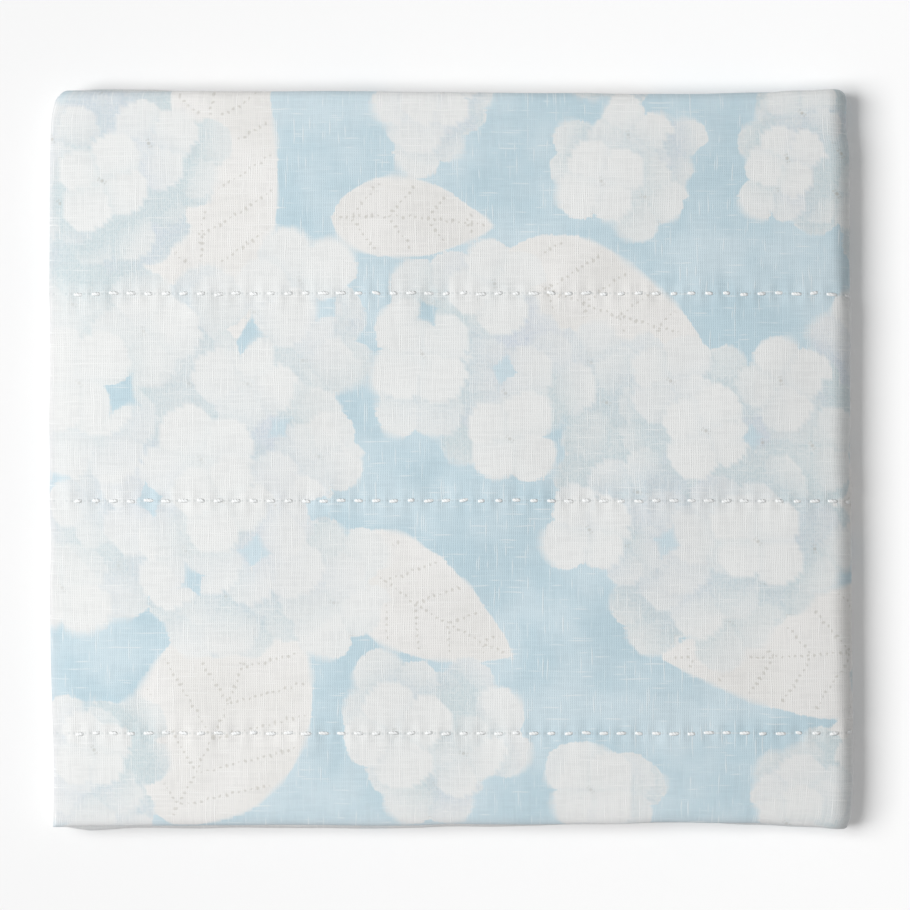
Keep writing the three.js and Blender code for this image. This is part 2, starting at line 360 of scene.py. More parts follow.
class FoldedForm:
    """The folded shape of the sheet, from the named sizes."""

    def __init__(self, sizes, weave):
        self.sizes = sizes
        self.weave = weave
        self.half_thickness = sizes.thickness / 2
        self.half_width = sizes.folded_width / 2
        self.half_depth = sizes.folded_depth / 2
        self.rise = 3 * sizes.layer_pitch
        self.middle_height = self.half_thickness + self.rise / 2
        tip = self.half_width - self.half_thickness
        self.outer = dict(
            rise=1.5 * sizes.layer_pitch,
            tip=tip,
            upper=sizes.side_reach_upper,
            lower=sizes.side_reach_lower,
            left=-self.half_width,
        )
        self.inner = dict(
            rise=0.5 * sizes.layer_pitch,
            tip=tip - sizes.inner_fold_setback,
            upper=sizes.inner_reach,
            lower=sizes.inner_reach,
            left=-self.half_width + sizes.inner_left_setback,
        )
        mean_reach = (sizes.side_reach_upper + sizes.side_reach_lower) / 2
        self.fold_length = math.pi / 4 * (self.outer["rise"] + mean_reach)
        self.layer_length = sizes.folded_width - self.half_thickness - mean_reach + self.fold_length
        self.top_fold_length = math.pi * sizes.layer_pitch / 2
        self.outer_run = sizes.folded_depth - self.half_thickness - sizes.layer_pitch / 2
        self.inner_run = self.outer_run - sizes.inner_bottom_setback
        self.cloth_length = self.outer_run + self.top_fold_length + self.inner_run
        self.rows = np.array(QUILT_ROWS) * MM

    def section(self, half, path):
        """The line that one half of the cloth follows across the stack."""
        upper = path >= 0
        reach = np.where(upper, half["upper"], half["lower"])
        start = half["tip"] - reach
        beyond = np.abs(path) - self.fold_length
        on_run = beyond >= 0
        run_x = mix(start, half["left"], beyond / (self.layer_length - self.fold_length))
        turn = path / self.fold_length * math.pi / 2
        x = np.where(on_run, run_x, start + reach * np.cos(turn))
        height = np.where(on_run, np.where(upper, 1.0, -1.0), np.sin(turn))
        return x, self.middle_height + half["rise"] * height

    def crown(self, x, y):
        """How far the stack is lifted at a place."""
        across = 1 - np.abs(x / self.half_width) ** self.sizes.crown_squareness
        along = 1 - np.abs(y / self.half_depth) ** self.sizes.crown_squareness
        lift = np.full_like(x, self.sizes.crown_height)
        for swell in SWELLS:
            cycles = x / (swell["along_x"] * MM) + y / (swell["along_y"] * MM)
            lift += swell["height"] * MM * np.sin(2 * math.pi * cycles + swell["phase"])
        ripple_length, long_length, long_share = 13 * MM, 31 * MM, 1.6
        ripples = soft_noise(x / ripple_length, y / ripple_length, RIPPLE_SEED)
        long_ripples = soft_noise(x / long_length, y / (2 * long_length), LONG_RIPPLE_SEED)
        lift += self.sizes.ripple * ripples
        lift += long_share * self.sizes.ripple * long_ripples
        return lift * np.maximum(across, 0) * np.maximum(along, 0)

    def settle_outline(self, x, y, upper_share):
        """Moves places of the straight-sided stack to the uneven outline of the real one."""
        reach, fold_reach, wave_length = 12 * MM, 34 * MM, 9 * MM
        wave, side_share, top_share, change = self.sizes.edge_wave, 0.7, 0.6, 2.3
        near_left = 1 - ease(x, -self.half_width, -self.half_width + reach)
        near_right = ease(x, self.half_width - fold_reach, self.half_width - self.sizes.side_reach_upper)
        near_top = ease(y, self.half_depth - reach, self.half_depth - self.sizes.layer_pitch)
        near_bottom = 1 - ease(y, -self.half_depth, -self.half_depth + reach)

        def blend(table, key, place, upper, lower, share):
            low, high = look_up(table, key, place, lower), look_up(table, key, place, upper)
            return mix(low, high, share)

        # Each top fold holds a pair of layers, so both layers of a pair end at the same line
        pair_low, pair_high = 0.36, 0.64
        near_side_fold = ease(x, 0, self.half_width / 2)
        pair_share = mix(ease(upper_share, pair_low, pair_high), upper_share, near_side_fold)
        left = blend(SIDE_LINES, "y", y, "left_upper", "left_lower", upper_share) + self.half_width
        right = look_up(SIDE_LINES, "y", y, "right") - self.half_width
        top = blend(END_LINES, "x", x, "top_upper", "top_lower", pair_share) - self.half_depth
        bottom = blend(END_LINES, "x", x, "bottom_upper", "bottom_lower", upper_share) + self.half_depth
        left = left + wave * soft_noise(y / wave_length, change * upper_share, LEFT_SEED)
        right = right + side_share * wave * soft_noise(y / wave_length, 0 * y, SIDE_SEED)
        top = top + top_share * wave * soft_noise(x / wave_length, change * pair_share, TOP_SEED)
        bottom = bottom + wave * soft_noise(x / wave_length, change * upper_share, BOTTOM_SEED)
        return x + left * near_left + right * near_right, y + top * near_top + bottom * near_bottom

    def middle(self, path, along):
        """The middle of the sheet's thickness, for places on the flat cloth."""
        outer_x, outer_z = self.section(self.outer, path)
        inner_x, inner_z = self.section(self.inner, path)
        radius = np.hypot(outer_x - inner_x, outer_z - inner_z) / 2
        centre = self.half_depth - self.half_thickness - radius
        past = along - self.outer_run
        turned = np.clip(past / self.top_fold_length, 0, 1) * math.pi
        y = centre + radius * np.sin(turned)
        y = np.where(past < 0, mix(-self.half_depth, centre, along / self.outer_run), y)
        inner_share = (past - self.top_fold_length) / self.inner_run
        open_edge = -self.half_depth + self.sizes.inner_bottom_setback
        y = np.where(inner_share > 0, mix(centre, open_edge, inner_share), y)
        outer_share = (1 + np.cos(turned)) / 2
        x, z = mix(inner_x, outer_x, outer_share), mix(inner_z, outer_z, outer_share)
        upper_share = (z - self.half_thickness) / self.rise
        x, y = self.settle_outline(x, y, np.clip(upper_share, 0, 1))
        left_reach, bottom_reach = 4 * MM, 4.5 * MM
        near_left = 1 - ease(x, -self.half_width, -self.half_width + left_reach)
        near_bottom = 1 - ease(y, -self.half_depth, -self.half_depth + bottom_reach)
        sunk = np.maximum(self.sizes.droop_left * near_left, self.sizes.droop_bottom * near_bottom)
        return np.stack([x, y, z + (self.crown(x, y) - sunk) * upper_share], axis=-1)

    def normal(self, path, along):
        """The printed face's direction, for places on the flat cloth."""
        step = 1e-6
        across = self.middle(path + step, along) - self.middle(path - step, along)
        up = self.middle(path, along + step) - self.middle(path, along - step)
        facing = np.cross(up, across)
        return facing / np.linalg.norm(facing, axis=-1, keepdims=True)

    def near_row(self, along):
        """1 on a sewn row, falling evenly to 0 at the quilting's half width."""
        away = np.min(np.abs(along[..., None] - self.rows), axis=-1)
        return 1 - np.clip(away / self.sizes.quilt_half_width, 0, 1)

    def inset(self, path, along):
        """How far a place of the flat cloth lies from its nearest edge."""
        inset = np.minimum(self.layer_length - np.abs(path), np.minimum(along, self.cloth_length - along))
        nothing = 0.001 * MM
        return np.where(inset < nothing, 0, inset)

    def face_height(self, path, along):
        """Half the sheet's thickness: rounded off at the rim, and drawn in along the sewn rows."""
        rim = np.clip(self.inset(path, along) / self.half_thickness, 0, 1)
        drawn_in = self.sizes.quilt_depth * self.near_row(along) ** 2
        return np.sqrt(1 - (1 - rim) ** 2) * (self.half_thickness - drawn_in)

    def puckers(self, path, along):
        """Small puckers that the stitches draw up beside their rows, none in the tight folds."""
        near_reach, wide_reach, fade = 1.6 * MM, 6 * MM, 4 * MM
        pull_length, pull_width, stitch_share = 5.5 * MM, 9 * MM, 0.7
        away = np.min(np.abs(along[..., None] - self.rows), axis=-1)
        stitch = np.cos(2 * math.pi * path / self.weave.stitch_pitch)
        pull = soft_noise(path / pull_length, along / pull_width, PUCKER_SEED)
        inset = self.layer_length - np.abs(path)
        half_fold = self.top_fold_length / 2
        from_top_fold = np.abs(along - self.outer_run - half_fold) - half_fold
        from_side_fold = np.where(along > self.outer_run, np.abs(path) - self.fold_length, fade)
        clear = np.minimum(np.minimum(inset, from_side_fold), from_top_fold)
        puckered = np.exp(-away / near_reach) * stitch * stitch_share + np.exp(-away / wide_reach) * pull
        return self.sizes.pucker * puckered * np.clip(clear / fade, 0, 1)

    def face(self, path, along, side, height=0.0):
        """Places on a face of the folded sheet. side is 1 on the printed face and -1 on the other."""
        offset = side * (self.face_height(path, along) + height)
        offset = offset + self.puckers(path, along) * (self.face_height(path, along) > 0)
        return self.middle(path, along) + self.normal(path, along) * offset[..., None]


def stations(form):
    """Where the coarse grid's lines lie on the flat cloth, in both directions."""
    step = form.sizes.grid_step
    rim = np.array([0, 0.12, 0.36, 0.9]) * MM
    side_fold_lines, top_fold_lines = 15, 9
    run = np.linspace(form.fold_length, form.layer_length - rim[-1], round(form.layer_length / step))
    fold = np.linspace(-form.fold_length, form.fold_length, side_fold_lines)
    paths = np.concatenate([run, -run, fold, form.layer_length - rim, rim - form.layer_length])
    half = form.sizes.quilt_half_width
    fixed = [rim[-1], form.outer_run, form.outer_run + form.top_fold_length, form.cloth_length - rim[-1]]
    for row in form.rows:
        fixed += [row - half, row, row + half]
    alongs = list(rim) + list(form.cloth_length - rim)
    alongs += list(np.linspace(form.outer_run, form.outer_run + form.top_fold_length, top_fold_lines))
    fixed = sorted(fixed)
    for low, high in zip(fixed, fixed[1:]):
        alongs += list(np.linspace(low, high, max(1, round((high - low) / step)) + 1))
    return distinct(paths), distinct(alongs)


def distinct(values):
    """The values in order, each once."""
    least = 1e-7
    ordered = np.sort(np.asarray(values, dtype=float))
    return ordered[np.concatenate([[True], np.diff(ordered) > least])]


class Painting:
    """The print as fields over places on the flat cloth, in millimetres."""

    def __init__(self, a, b):
        self.flat_a, self.flat_b = a, b
        self.a, self.b = a, b
        unsteady_length = 4.5
        self.unsteady = soft_noise(a / unsteady_length, b / unsteady_length, DYE_SEED)
        self.leaf = np.full_like(a, -UNPAINTED)
        self.petal = np.full_like(a, -UNPAINTED)
        self.shade = np.zeros_like(a)
        self.lilac = np.zeros_like(a)
        self.heart = np.full((len(a), 3), UNPAINTED)
        self.vein = np.zeros((len(a), 3))

    def move_to(self, repeat):
        """Lays the group's own places where one of its repeats puts them."""
        sign = -1 if repeat.turned else 1
        self.a = sign * self.flat_a
        self.b = sign * (self.flat_b - repeat.shift)

    def add_leaf(self, leaf):
        """A pointed leaf with a midrib and paired side veins. Later leaves lie on earlier ones."""
        belly, fullness, side_slant, unevenness, surround = 0.72, 0.85, 0.92, 0.4, 1.2
        foot = leaf.foot
        axis = np.subtract(leaf.tip, foot)
        length = np.hypot(*axis)
        axis = axis / length
        u = (self.a - foot[0]) * axis[0] + (self.b - foot[1]) * axis[1]
        v = (self.b - foot[1]) * axis[0] - (self.a - foot[0]) * axis[1]
        share = np.clip(u / length, 0, 1)
        v = v - leaf.bend * np.sin(math.pi * share)
        breadth = leaf.half_width * np.sin(math.pi * share**belly) ** fullness
        edge = np.minimum((breadth - np.abs(v)) * side_slant, np.minimum(u, length - u))
        edge = edge + unevenness * self.unsteady
        on_top = edge > -surround
        self.leaf = np.where(on_top & (edge < 0), np.maximum(self.leaf, edge), self.leaf)
        inside = edge >= 0
        self.leaf[inside] = edge[inside]
        self.vein[on_top, 0] = ((u - VEIN_SLOPE * np.abs(v)) / VEIN_GAP)[on_top]
        self.vein[on_top, 1] = u[on_top]
        self.vein[on_top, 2] = v[on_top]

    def add_floret(self, centre, radius, turn, depth, bold, lilac):
        """One floret of four round petals, lying on what is painted before it."""
        surround, petal_place, petal_radius, petal_change, unevenness = 8, 0.5, 0.53, 0.1, 0.45
        da, db = self.a - centre[0], self.b - centre[1]
        near = np.flatnonzero(np.hypot(da, db) < radius + surround)
        if not len(near):
            return
        da, db = da[near], db[near]
        rho = np.hypot(da, db)
        angle = np.arctan2(db, da) - turn
        within = np.mod(angle + math.pi / 4, math.pi / 2) - math.pi / 4
        which = np.rint((angle - within) / (math.pi / 2))
        size = radius * (1 + petal_change * np.sin(2.3 * which + 9 * turn))
        to_petal = np.hypot(rho * np.cos(within) - petal_place * size, rho * np.sin(within))
        edge = petal_radius * size - to_petal + unevenness * self.unsteady[near]

        # Its shade on the petals below, stronger on one side
        cast_least, cast_more, cast_reach = 0.25, 0.85, 0.42
        under = (edge < 0) & (self.petal[near] > 0)
        facing = 0.5 + 0.5 * np.cos(angle + 4 * turn)
        cast = bold * (cast_least + cast_more * facing) * np.exp(edge / (cast_reach * radius))
        self.shade[near] = np.where(under, np.clip(self.shade[near] + cast, 0, 1), self.shade[near])

        # Its own shade, one side of each petal darker, and the notches and the heart darkest
        side_strength, notch_strength, heart_strength = 0.3, 0.4, 0.2
        notch_reach, heart_reach, edge_reach, edge_least = 1.3, 0.35, 0.4, 0.4
        notch = rho * np.sin(math.pi / 4 - np.abs(within))
        side = 0.5 + 0.5 * within / (math.pi / 4)
        side_shade = side_strength * depth * side
        notch_shade = notch_strength * np.exp(-notch / notch_reach) * side
        heart_shade = heart_strength * np.exp(-((rho / (heart_reach * radius)) ** 2))
        edge_share = edge_least + (1 - edge_least) * np.exp(-edge / (edge_reach * radius))
        shading = bold * (side_shade + notch_shade + heart_shade) * edge_share
        inside = edge >= 0
        chosen = near[inside]
        self.shade[chosen] = np.clip(shading[inside], 0, 1)
        self.lilac[chosen] = lilac
        self.petal[near] = np.maximum(self.petal[near], edge)
        off = [rho * np.cos(angle), rho * np.sin(angle), np.full_like(da, bold)]
        self.heart[chosen] = np.stack(off, axis=-1)[inside]

    def add_head(self, head, seed):
        """A round head of florets, the deep ones first and the pale ones on top."""
        stay_inside, wander, sizes = 0.8, 0.10, (0.85, 1.12)
        depth_fall, depth_wander, depth_least = 0.85, 0.12, 0.05
        draw = np.random.default_rng(seed)
        count = max(3, round(head.filled * (head.radius / head.floret) ** 2))
        golden = math.pi * (3 - math.sqrt(5))
        start = draw.uniform(0, 2 * math.pi)
        for place_in_order, index in enumerate(draw.permutation(count)):
            reach = max(0.0, head.radius - stay_inside * head.floret)
            out = reach * math.sqrt((index + 0.5) / count)
            angle = start + index * golden
            wobble = draw.normal(0, wander * head.floret, 2)
            a = head.a + out * math.cos(angle) + wobble[0]
            b = head.b + out * math.sin(angle) + wobble[1]
            size = head.floret * draw.uniform(*sizes)
            depth = 1.0 - depth_fall * place_in_order / count + draw.normal(0, depth_wander)
            turn, lilac = draw.uniform(0, math.pi / 2), draw.uniform(0, 1)
            self.add_floret((a, b), size, turn, max(depth, depth_least), head.bold, lilac)

    def add_gap(self, gap):
        """A small gap with four points, as round petals leave between them."""
        height_share, point_power, surround = 1.3, 0.67, 1.0
        dimming, dim_reach, steepness = 0.25, 2.0, 0.6
        da, db = self.a - gap.a, self.b - gap.b
        angle = math.radians(gap.turn)
        across = np.abs(da * math.cos(angle) + db * math.sin(angle))
        up = np.abs(db * math.cos(angle) - da * math.sin(angle)) / height_share
        inside = gap.size - (across**point_power + up**point_power) ** 1.5
        self.shade = np.clip(self.shade + dimming * np.exp(np.minimum(inside, 0) / dim_reach), 0, 1)
        self.petal = np.where(inside > -surround, np.minimum(self.petal, -steepness * inside), self.petal)

    def finish(self):
        """The fields that the material reads: above zero is inside."""
        ground = -np.maximum(self.leaf, self.petal)
        return dict(
            ground=np.clip(ground, -FIELD_LIMIT, FIELD_LIMIT),
            leaf=np.clip(np.minimum(self.leaf, -self.petal), -FIELD_LIMIT, FIELD_LIMIT),
            shade=self.shade,
            lilac=self.lilac,
            heart=self.heart,
            vein=self.vein,
        )


def paint_print(path, along):
    """The whole print, for places on the flat cloth in metres."""
    painting = Painting(path / MM, along / MM)
    for repeat in REPEATS:
        painting.move_to(repeat)
        for leaf in LEAVES:
            painting.add_leaf(leaf)
        for seed, head in enumerate(HEADS):
            painting.add_head(head, seed)
        for gap in GAPS:
            painting.add_gap(gap)
    return painting.finish()


def pick_faces(mesh, chosen):
    """Selects the faces that chosen marks, and nothing else."""
    mesh.vertices.foreach_set("select", np.zeros(len(mesh.vertices), dtype=bool))
    mesh.edges.foreach_set("select", np.zeros(len(mesh.edges), dtype=bool))
    mesh.polygons.foreach_set("select", chosen)
    mesh.update()


def face_middles(mesh):
    middles = np.empty(3 * len(mesh.polygons))
    mesh.polygons.foreach_get("center", middles)
    return middles.reshape(-1, 3)


def vertex_places(mesh):
    places = np.empty(3 * len(mesh.vertices))
    mesh.vertices.foreach_get("co", places)
    return places.reshape(-1, 3)


def place_vertices(mesh, places):
    mesh.vertices.foreach_set("co", places.ravel())
    mesh.update()


def flat_face(name, form):
    """A grid in flat places: path along X and along up Y."""
    paths, alongs = stations(form)
    bpy.ops.object.select_all(action="DESELECT")
    bpy.ops.mesh.primitive_grid_add(x_subdivisions=len(paths) - 1, y_subdivisions=len(alongs) - 1, size=2)
    sheet = bpy.context.object
    sheet.name = name
    places = vertex_places(sheet.data)
    column = np.rint((places[:, 0] + 1) / 2 * (len(paths) - 1)).astype(int)
    row = np.rint((places[:, 1] + 1) / 2 * (len(alongs) - 1)).astype(int)
    flat = np.stack([paths[column], alongs[row], np.zeros(len(places))], axis=-1)
    place_vertices(sheet.data, flat)
    return sheet


def refine(sheet, chosen, cuts):
    """Cuts the chosen faces of a grid finer."""
    pick_faces(sheet.data, chosen)
    bpy.context.tool_settings.mesh_select_mode = (False, False, True)
    bpy.ops.object.mode_set(mode="EDIT")
    bpy.ops.mesh.subdivide(number_cuts=cuts)
    bpy.ops.object.mode_set(mode="OBJECT")


def refine_print(sheet, form):
    """Cuts the outer half of the printed face finer, most on the upper layer."""
    margin = 1 * MM
    middles = face_middles(sheet.data)
    length = form.layer_length - margin
    outer = (middles[:, 1] > margin) & (middles[:, 1] < form.outer_run + form.top_fold_length)
    upper = (middles[:, 0] > -form.fold_length) & (middles[:, 0] < length)
    refine(sheet, outer & upper, form.sizes.upper_cuts)
    middles = face_middles(sheet.data)
    outer = (middles[:, 1] > margin) & (middles[:, 1] < form.outer_run)
    lower = (middles[:, 0] < -form.fold_length) & (middles[:, 0] > -length)
    refine(sheet, outer & lower, form.sizes.lower_cuts)


def add_field(mesh, name, values):
    """A value, or three, for each vertex, which the material reads by name."""
    kind = "FLOAT_VECTOR" if values.ndim == 2 else "FLOAT"
    field = mesh.attributes.new(name, kind, "POINT")
    key = "vector" if values.ndim == 2 else "value"
    field.data.foreach_set(key, np.ascontiguousarray(values, dtype=np.float32).ravel())


def add_map(mesh, name, places):
    """A map from each vertex's place in the plane."""
    corners = np.empty(len(mesh.loops), dtype=int)
    mesh.loops.foreach_get("vertex_index", corners)
    layer = mesh.uv_layers.new(name=name)
    layer.data.foreach_set("uv", np.ascontiguousarray(places[corners], dtype=np.float32).ravel())


def bake_places(form, path, along, printed):
    """Places on the unit square for baking, with the most room for the upper layer's printed face."""
    columns, printed_rows, back_rows = (0.005, 0.38, 0.995), (0.005, 0.62, 0.79), (0.80, 0.90, 0.995)
    paths = [-form.layer_length, 0, form.layer_length]
    alongs = [0, form.outer_run + form.top_fold_length, form.cloth_length]
    across = np.interp(path, paths, columns)
    up = np.interp(along, alongs, printed_rows if printed else back_rows)
    return np.stack([across, up], axis=-1)


def fold_mesh(mesh, form, side):
    """Folds a mesh whose X and Y are flat places and Z the height over the face, down to the floor."""
    flat = vertex_places(mesh)
    folded = form.face(flat[:, 0], flat[:, 1], side, flat[:, 2])
    folded[:, 2] = np.maximum(folded[:, 2], 0)
    place_vertices(mesh, folded)


def dress_face(sheet, form, side):
    """Gives a flat face its maps and fields, and then folds it. Both faces then point outwards."""
    mesh = sheet.data
    if side > 0:
        mesh.flip_normals()
    flat = vertex_places(mesh)
    path, along = flat[:, 0], flat[:, 1]
    add_map(mesh, FLAT_MAP, flat[:, :2])
    add_map(mesh, BAKE_MAP, bake_places(form, path, along, side > 0))
    for name, values in paint_print(path, along).items():
        add_field(mesh, name, values)
    add_field(mesh, "seam", form.near_row(along))
    add_field(mesh, "printed", np.full(len(path), 1.0 if side > 0 else 0.0))
    # The rim field marks the open edges, where the material pales the cotton and paints shade
    add_field(mesh, "rim", np.clip(1 - form.inset(path, along) / RIM_WIDTH, 0, 1))
    fold_mesh(mesh, form, side)


class Nodes:
    """Adds nodes to a tree and joins them, so that a material reads as a list of steps."""

    def __init__(self, tree):
        self.tree = tree

    def add(self, kind, inputs=(), **options):
        node = self.tree.nodes.new(kind)
        for name, value in options.items():
            setattr(node, name, value)
        for key, value in dict(inputs).items():
            if isinstance(value, bpy.types.NodeSocket):
                self.tree.links.new(value, node.inputs[key])
            else:
                node.inputs[key].default_value = value
        return node

    def math(self, operation, *values):
        return self.add("ShaderNodeMath", dict(enumerate(values)), operation=operation).outputs[0]

    def vector(self, operation, a, b):
        inputs = {0: a, "Scale": b} if operation == "SCALE" else {0: a, 1: b}
        return self.add("ShaderNodeVectorMath", inputs, operation=operation).outputs[0]

    def split(self, vector):
        return self.add("ShaderNodeSeparateXYZ", {0: vector}).outputs

    def place(self, x, y):
        return self.add("ShaderNodeCombineXYZ", {0: x, 1: y}).outputs[0]

    def distance(self, x, y):
        return self.add("ShaderNodeVectorMath", {0: self.place(x, y)}, operation="LENGTH").outputs["Value"]

    def step(self, value, low, high, start=0.0, end=1.0):
        inputs = {"Value": value, "From Min": low, "From Max": high, "To Min": start, "To Max": end}
        return self.add("ShaderNodeMapRange", inputs, interpolation_type="SMOOTHSTEP").outputs[0]

    def mix(self, share, a, b, blend="MIX"):
        node = self.add("ShaderNodeMix", {0: share, 6: a, 7: b}, data_type="RGBA", blend_type=blend)
        return node.outputs[2]

    def tint(self, share, colour, towards, strength):
        """Moves a colour towards another, at most by the strength."""
        return self.mix(self.math("MULTIPLY", share, strength), colour, towards)

    def noise(self, vector, scale=1.0, detail=2.0, dimensions="2D"):
        inputs = {"Vector": vector, "Scale": scale, "Detail": detail}
        return self.add("ShaderNodeTexNoise", inputs, noise_dimensions=dimensions).outputs[0]

    def field(self, name, output="Fac"):
        node = self.add("ShaderNodeAttribute", attribute_name=name, attribute_type="GEOMETRY")
        return node.outputs[output]

    def use(self, group, inputs):
        """The outputs of a node group, for what goes into it."""
        return self.add("ShaderNodeGroup", inputs, node_tree=group).outputs


def new_group(name, inputs, outputs):
    """A shader node group with named sockets, and what builds its inside."""
    group = bpy.data.node_groups.new(name, "ShaderNodeTree")
    for label, kind, default in inputs:
        socket = group.interface.new_socket(label, in_out="INPUT", socket_type="NodeSocket" + kind)
        if default is not None:
            socket.default_value = default
    for label in outputs:
        group.interface.new_socket(label, in_out="OUTPUT", socket_type="NodeSocketFloat")
    nodes = Nodes(group)
    return nodes, nodes.add("NodeGroupInput").outputs


def close_group(nodes, results):
    """Sends the results to the group's outputs."""
    nodes.add("NodeGroupOutput", results)
    return nodes.tree


def new_material(name):
    """An empty material, and what builds its nodes."""
    material = bpy.data.materials.new(name)
    material.use_nodes = True
    material.node_tree.nodes.clear()
    return material, Nodes(material.node_tree)


def weave_group():
    """Net weave: threads both ways over and under each other, each thicker and whiter in stretches."""
    nodes, given = new_group(
        "Net weave",
        [("Place", "Vector", None), ("Warp pitch", "Float", 0.46), ("Weft pitch", "Float", 0.5),
         ("Slub length", "Float", 9.0)],
        ["Height", "Thread", "Light", "Slub"],
    )
    wander_scale, wander_reach = 0.16, 0.7
    wander = nodes.add("ShaderNodeTexNoise", {"Vector": given["Place"], "Scale": wander_scale})
    centred = nodes.vector("SUBTRACT", wander.outputs["Color"], (0.5, 0.5, 0.5))
    place = nodes.split(nodes.vector("ADD", given["Place"], nodes.vector("SCALE", centred, wander_reach)))
    across = nodes.math("DIVIDE", place[0], given["Warp pitch"])
    up = nodes.math("DIVIDE", place[1], given["Weft pitch"])
    cos_across = nodes.math("COSINE", nodes.math("MULTIPLY", across, math.pi))
    cos_up = nodes.math("COSINE", nodes.math("MULTIPLY", up, math.pi))

    def lightness(thread, long):
        """Each thread's own lightness, which changes along it."""
        threads_apart = 7.31
        number = nodes.math("MULTIPLY", nodes.math("ROUND", thread), threads_apart)
        stretched = nodes.math("DIVIDE", long, given["Slub length"])
        return nodes.noise(nodes.place(number, stretched), 1.0, 2.0)

    warp_edges, weft_edges = (0.30, 0.85), (0.38, 0.90)
    light_warp, light_weft = lightness(across, place[1]), lightness(up, place[0])
    warp = nodes.step(nodes.math("ABSOLUTE", cos_across), *warp_edges)
    weft = nodes.step(nodes.math("ABSOLUTE", cos_up), *weft_edges)

    crossing_share, light_share, light_offset, under = 0.55, 0.9, -0.2, 0.4
    crossing = nodes.step(nodes.math("MULTIPLY", cos_across, cos_up), -0.5, 0.5)
    lighter = nodes.math("MULTIPLY_ADD", light_warp, light_share, light_offset)
    over = nodes.math("MULTIPLY_ADD", crossing, crossing_share, lighter)
    warp_height = nodes.math("MULTIPLY", warp, nodes.math("MULTIPLY_ADD", over, under, 1 - under))
    weft_height = nodes.math("MULTIPLY", weft, nodes.math("MULTIPLY_ADD", over, -under, 1.0))

    warp_slubs, weft_slubs, slub_height = (0.60, 0.76), (0.61, 0.76), 0.5
    slub_warp = nodes.math("MULTIPLY", nodes.step(light_warp, *warp_slubs), warp)
    slub_weft = nodes.math("MULTIPLY", nodes.step(light_weft, *weft_slubs), weft)
    slub = nodes.math("MAXIMUM", slub_warp, slub_weft)
    threads = nodes.math("MAXIMUM", warp_height, weft_height)
    return close_group(nodes, {
        "Height": nodes.math("MULTIPLY_ADD", slub, slub_height, threads),
        "Thread": nodes.math("MAXIMUM", warp, weft),
        "Light": nodes.math("MULTIPLY", nodes.math("ADD", light_warp, light_weft), 0.5),
        "Slub": slub,
    })


def mottle_group():
    """Uneven dye: broad clouds, finer specks, and where an edge is blurred."""
    nodes, given = new_group(
        "Uneven dye",
        [("Place", "Vector", None), ("Cloud size", "Float", 18.0)],
        ["Cloud", "Speck", "Blur"],
    )
    speck_scale, blur_scale = 1.7, 0.11
    clouds = nodes.vector("SCALE", given["Place"], nodes.math("DIVIDE", 1.0, given["Cloud size"]))
    return close_group(nodes, {
        "Cloud": nodes.step(nodes.noise(clouds, 1.0, 3.0), 0.3, 0.7),
        "Speck": nodes.step(nodes.noise(given["Place"], speck_scale, 2.0), 0.35, 0.75),
        "Blur": nodes.step(nodes.noise(given["Place"], blur_scale, 1.0), 0.42, 0.68),
    })


def heart_group():
    """The small mark in a floret's middle: a dot with four specks round it. Z is how bold it is."""
    nodes, given = new_group("Floret heart", [("From centre", "Vector", None)], ["Mark"])
    place = nodes.split(given["From centre"])
    across, up = (nodes.math("ABSOLUTE", place[axis]) for axis in (0, 1))

    def spot(x, y, radius):
        far = nodes.distance(nodes.math("SUBTRACT", across, x), nodes.math("SUBTRACT", up, y))
        return nodes.step(far, 0.5 * radius, 1.5 * radius, 1.0, 0.0)

    dot_radius, speck_x, speck_y, speck_radius, speck_strength = 0.36, 0.8, 0.25, 0.2, 0.6
    dot = spot(0.0, 0.0, dot_radius)
    specks = nodes.math("MULTIPLY", spot(speck_x, speck_y, speck_radius), speck_strength)
    mark = nodes.math("MULTIPLY", nodes.math("MAXIMUM", dot, specks), place[2])
    return close_group(nodes, {"Mark": mark})


def vein_group():
    """Dots along a leaf's midrib and side veins. Leaf is the vein count, and places along and across it."""
    nodes, given = new_group(
        "Dotted veins",
        [("Leaf", "Vector", None), ("Place", "Vector", None), ("Dot pitch", "Float", 2.0),
         ("Dot radius", "Float", 0.3)],
        ["Dots"],
    )
    count, from_foot, from_midrib = nodes.split(given["Leaf"])
    size_range, drift_reach, core, rim = (0.55, 1.25), 1.4, 0.6, 1.6
    unsteady = nodes.math("SUBTRACT", nodes.noise(given["Place"], 0.5, 1.0), 0.5)
    size = nodes.step(nodes.noise(given["Place"], 0.9, 1.0), 0.3, 0.7, *size_range)
    radius = nodes.math("MULTIPLY", given["Dot radius"], size)
    dot_core, dot_rim = (nodes.math("MULTIPLY", radius, share) for share in (core, rim))

    def dots(across, along):
        turn = nodes.math("FRACT", nodes.math("DIVIDE", along, given["Dot pitch"]))
        beside = nodes.math("MULTIPLY", nodes.math("SUBTRACT", turn, 0.5), given["Dot pitch"])
        off_line = nodes.math("MULTIPLY_ADD", unsteady, drift_reach, across)
        return nodes.step(nodes.distance(off_line, beside), dot_core, dot_rim, 1.0, 0.0)

    slant = math.hypot(1, VEIN_SLOPE)
    sideways = nodes.math("ABSOLUTE", from_midrib)
    phase = nodes.math("SUBTRACT", nodes.math("FRACT", count), 0.5)
    side_across = nodes.math("MULTIPLY", phase, VEIN_GAP / slant)
    side_forward = nodes.math("MULTIPLY", sideways, 1 / slant)
    side_along = nodes.math("MULTIPLY_ADD", from_foot, VEIN_SLOPE / slant, side_forward)
    dotted = nodes.math("MAXIMUM", dots(from_midrib, from_foot), dots(side_across, side_along))
    return close_group(nodes, {"Dots": dotted})


